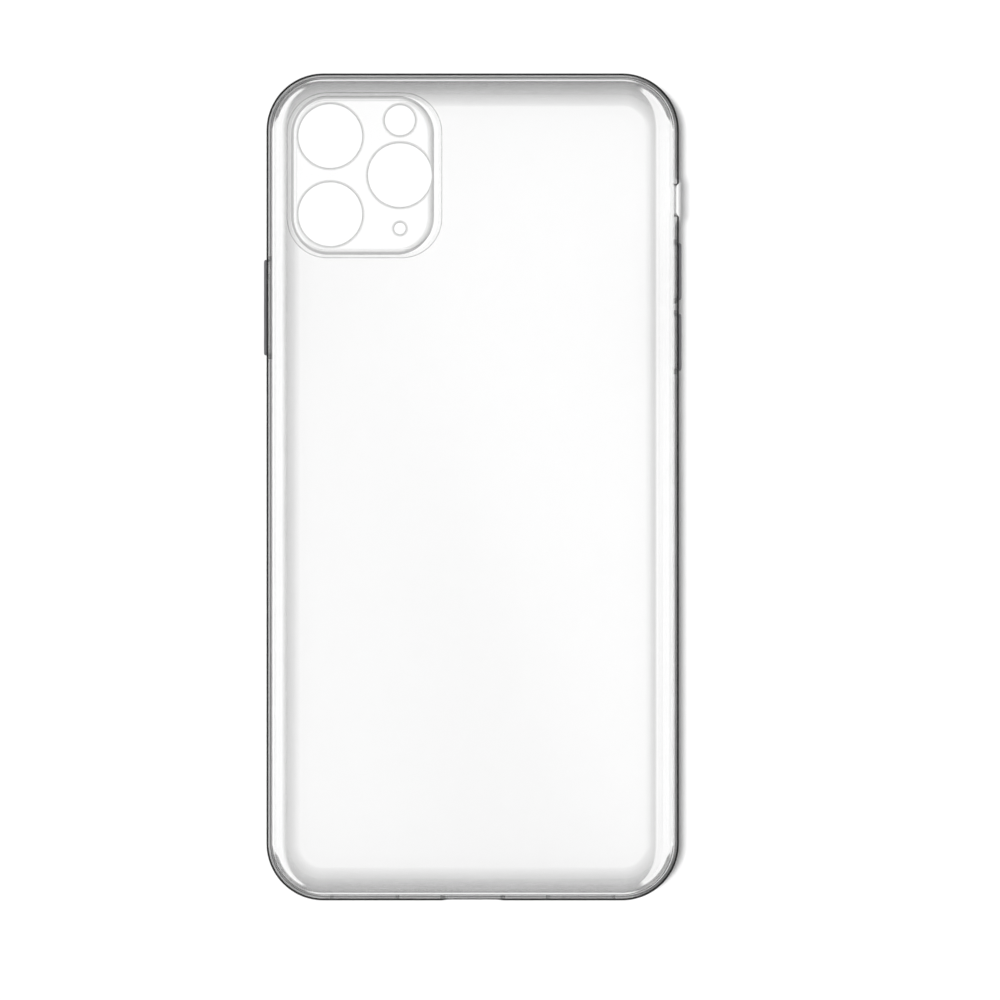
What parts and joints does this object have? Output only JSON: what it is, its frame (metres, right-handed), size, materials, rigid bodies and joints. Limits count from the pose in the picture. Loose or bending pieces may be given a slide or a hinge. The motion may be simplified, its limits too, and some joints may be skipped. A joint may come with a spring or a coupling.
{
  "type": "phone case",
  "caption": "Clear protective phone case with a raised camera guard, pressable side buttons, a ring switch window and charging openings.",
  "frame": {"origin": "middle of the footprint, on the plane that the screen lip rests on", "axes": "+X to the side with the volume buttons and ring switch window, +Y to the camera end, +Z out of the back"},
  "size_m": [0.0808, 0.16, 0.0117],
  "materials": {
    "rigid_clear": "clear, polished",
    "soft_clear": "clear, soft, satin inside",
    "button_dark": "dark grey, satin"
  },
  "bodies": {
    "shell": {"bumper_frame": "soft_clear", "back_panel": "rigid_clear", "camera_guard": "rigid_clear"},
    "power_button": {"power_button_cap": "button_dark", "power_button_pad": "soft_clear"},
    "volume_up_button": {"volume_up_button_cap": "button_dark", "volume_up_button_pad": "soft_clear"},
    "volume_down_button": {"volume_down_button_cap": "button_dark", "volume_down_button_pad": "soft_clear"}
  },
  "joints": [
    {"name": "power_press", "type": "slide", "parent": "shell", "child": "power_button", "axis": [1, 0, 0], "range_m": [0, 0.00025], "stiffness_N_per_m": 1000},
    {"name": "volume_up_press", "type": "slide", "parent": "shell", "child": "volume_up_button", "axis": [-1, 0, 0], "range_m": [0, 0.00025], "stiffness_N_per_m": 1000},
    {"name": "volume_down_press", "type": "slide", "parent": "shell", "child": "volume_down_button", "axis": [-1, 0, 0], "range_m": [0, 0.00025], "stiffness_N_per_m": 1000}
  ]
}
